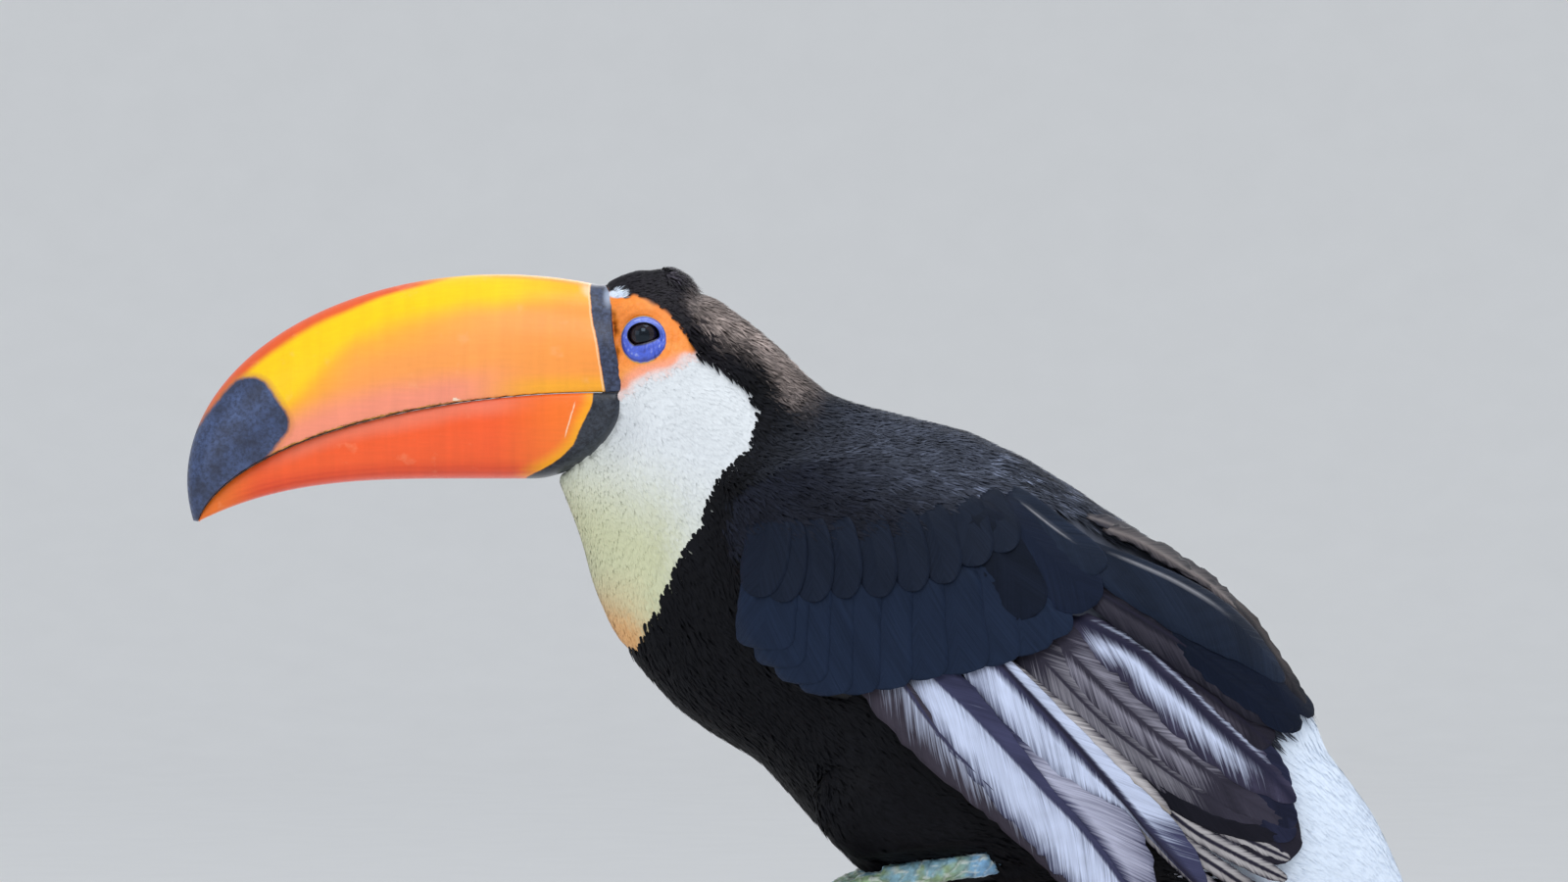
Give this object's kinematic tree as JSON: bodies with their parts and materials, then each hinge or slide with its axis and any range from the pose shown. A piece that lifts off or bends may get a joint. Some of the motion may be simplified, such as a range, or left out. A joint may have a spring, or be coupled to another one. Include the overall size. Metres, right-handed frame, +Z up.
{
  "type": "toco toucan",
  "caption": "Life-size still model of a toco toucan crouched on a cut branch perch, bill level, wings folded, on a plain display stand.",
  "frame": {"origin": "middle of the underside of the display stand's base", "axes": "+Z up; the bird faces -X with its left side towards -Y; the perch runs along Y"},
  "size_m": [0.4843, 0.176, 0.3954],
  "materials": {
    "feather_black": "overlapping contour feathers, soft sheen",
    "feather_white": "soft fine feathers, creamy white",
    "wing_feather": "smooth overlapping vanes, blue-black gloss",
    "flight_feather": "long vanes with pale frayed barbs and dark shafts",
    "bill_upper": "horn, satin gloss, yellow to orange with a black tip patch",
    "bill_lower": "horn, satin gloss, orange-red",
    "bare_skin": "scaly blue-grey skin",
    "claw": "dark horn",
    "eye": "wet and clear over a dark iris",
    "bark": "rough bark, cut ends",
    "stand_wood": "stained and lacquered",
    "stand_steel": "brushed"
  },
  "bodies": {
    "root": {"bill_upper": "bill_upper", "bill_lower": "bill_lower", "head": "feather_black", "neck": "feather_white", "trunk": "feather_black", "tail_coverts": "feather_white", "tail": "feather_black", "eye_left": "eye", "wing_left_coverts": "wing_feather", "wing_left_flight": "flight_feather", "thigh_left": "feather_black", "shank_left": "bare_skin", "foot_left": "bare_skin", "claw_left_1": "claw", "claw_left_2": "claw", "claw_left_3": "claw", "claw_left_4": "claw", "stand_rod_left": "stand_steel", "eye_right": "eye", "wing_right_coverts": "wing_feather", "wing_right_flight": "flight_feather", "thigh_right": "feather_black", "shank_right": "bare_skin", "foot_right": "bare_skin", "claw_right_1": "claw", "claw_right_2": "claw", "claw_right_3": "claw", "claw_right_4": "claw", "stand_rod_right": "stand_steel", "perch": "bark", "stand_base": "stand_wood"}
  },
  "joints": []
}
